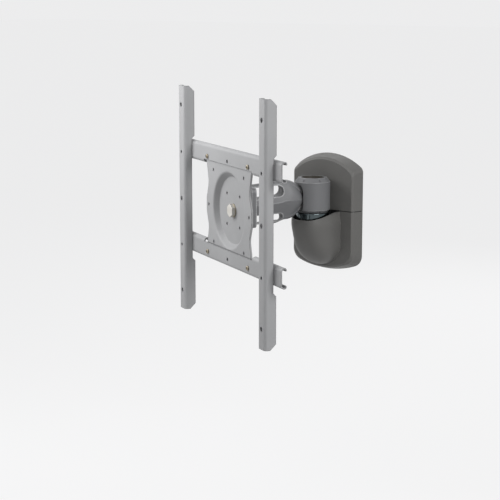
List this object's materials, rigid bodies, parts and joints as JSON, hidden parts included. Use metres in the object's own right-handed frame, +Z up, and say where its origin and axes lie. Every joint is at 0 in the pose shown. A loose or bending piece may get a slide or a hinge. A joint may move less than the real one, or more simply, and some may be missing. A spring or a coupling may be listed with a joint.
{
  "type": "tv wall mount",
  "caption": "Swivelling, tilting wall bracket for a flat screen: covered wall unit, pivot arm, dished face plate, cross bars and slim upright rails with mounting holes.",
  "frame": {"origin": "centre of the wall plate's back face, on the wall", "axes": "+Y into the wall, +Z up, +X to the right for a person who faces the wall; the screen side is toward -Y"},
  "size_m": [0.4405, 0.3553, 0.48],
  "materials": {
    "silver_paint": "silver paint with a fine texture",
    "silver_cast": "cast and painted silver",
    "cover_plastic": "warm dark grey, fine grain",
    "black_nylon": "matt",
    "yellow_zinc": "yellow zinc plating",
    "zinc_steel": "clear zinc plating",
    "dark_steel": "black paint"
  },
  "bodies": {
    "wall_unit": {"wall_plate": "dark_steel", "pivot_shelf": "zinc_steel", "shelf_gussets": "dark_steel", "pivot_shaft": "zinc_steel", "pivot_collar": "zinc_steel", "retaining_washer": "zinc_steel", "shaft_nut": "yellow_zinc", "upper_cover": "cover_plastic", "lower_cover": "cover_plastic"},
    "swivel_arm": {"pivot_housing": "silver_cast", "top_cap": "silver_cast", "bottom_cap": "silver_cast", "cap_screws": "zinc_steel", "upper_bush": "black_nylon", "lower_bush": "black_nylon"},
    "tilting_head": {"tilt_head": "silver_cast", "tilt_axle": "zinc_steel", "tilt_washers": "black_nylon", "tension_screw": "zinc_steel", "friction_disc": "black_nylon", "centre_washer": "yellow_zinc", "centre_bolt": "yellow_zinc"},
    "screen_frame": {"face_plate": "silver_paint", "upper_bar": "silver_paint", "lower_bar": "silver_paint", "left_rail": "silver_paint", "right_rail": "silver_paint", "bar_screws": "yellow_zinc", "bar_nuts": "zinc_steel", "rail_screws": "zinc_steel", "rail_nuts": "zinc_steel"}
  },
  "joints": [
    {"name": "swivel", "type": "hinge", "parent": "wall_unit", "child": "swivel_arm", "pos_m": [0, -0.066, 0.04], "axis": [0, 0, 1], "range_deg": [-16, 74]},
    {"name": "tilt", "type": "hinge", "parent": "swivel_arm", "child": "tilting_head", "pos_m": [-0.03103, -0.12198, 0.035], "axis": [0.8746, -0.4848, 0], "range_deg": [-15, 15]},
    {"name": "rotate", "type": "hinge", "parent": "tilting_head", "child": "screen_frame", "pos_m": [-0.10229, -0.25054, 0.02], "axis": [-0.4848, -0.8746, 0], "continuous": true}
  ]
}
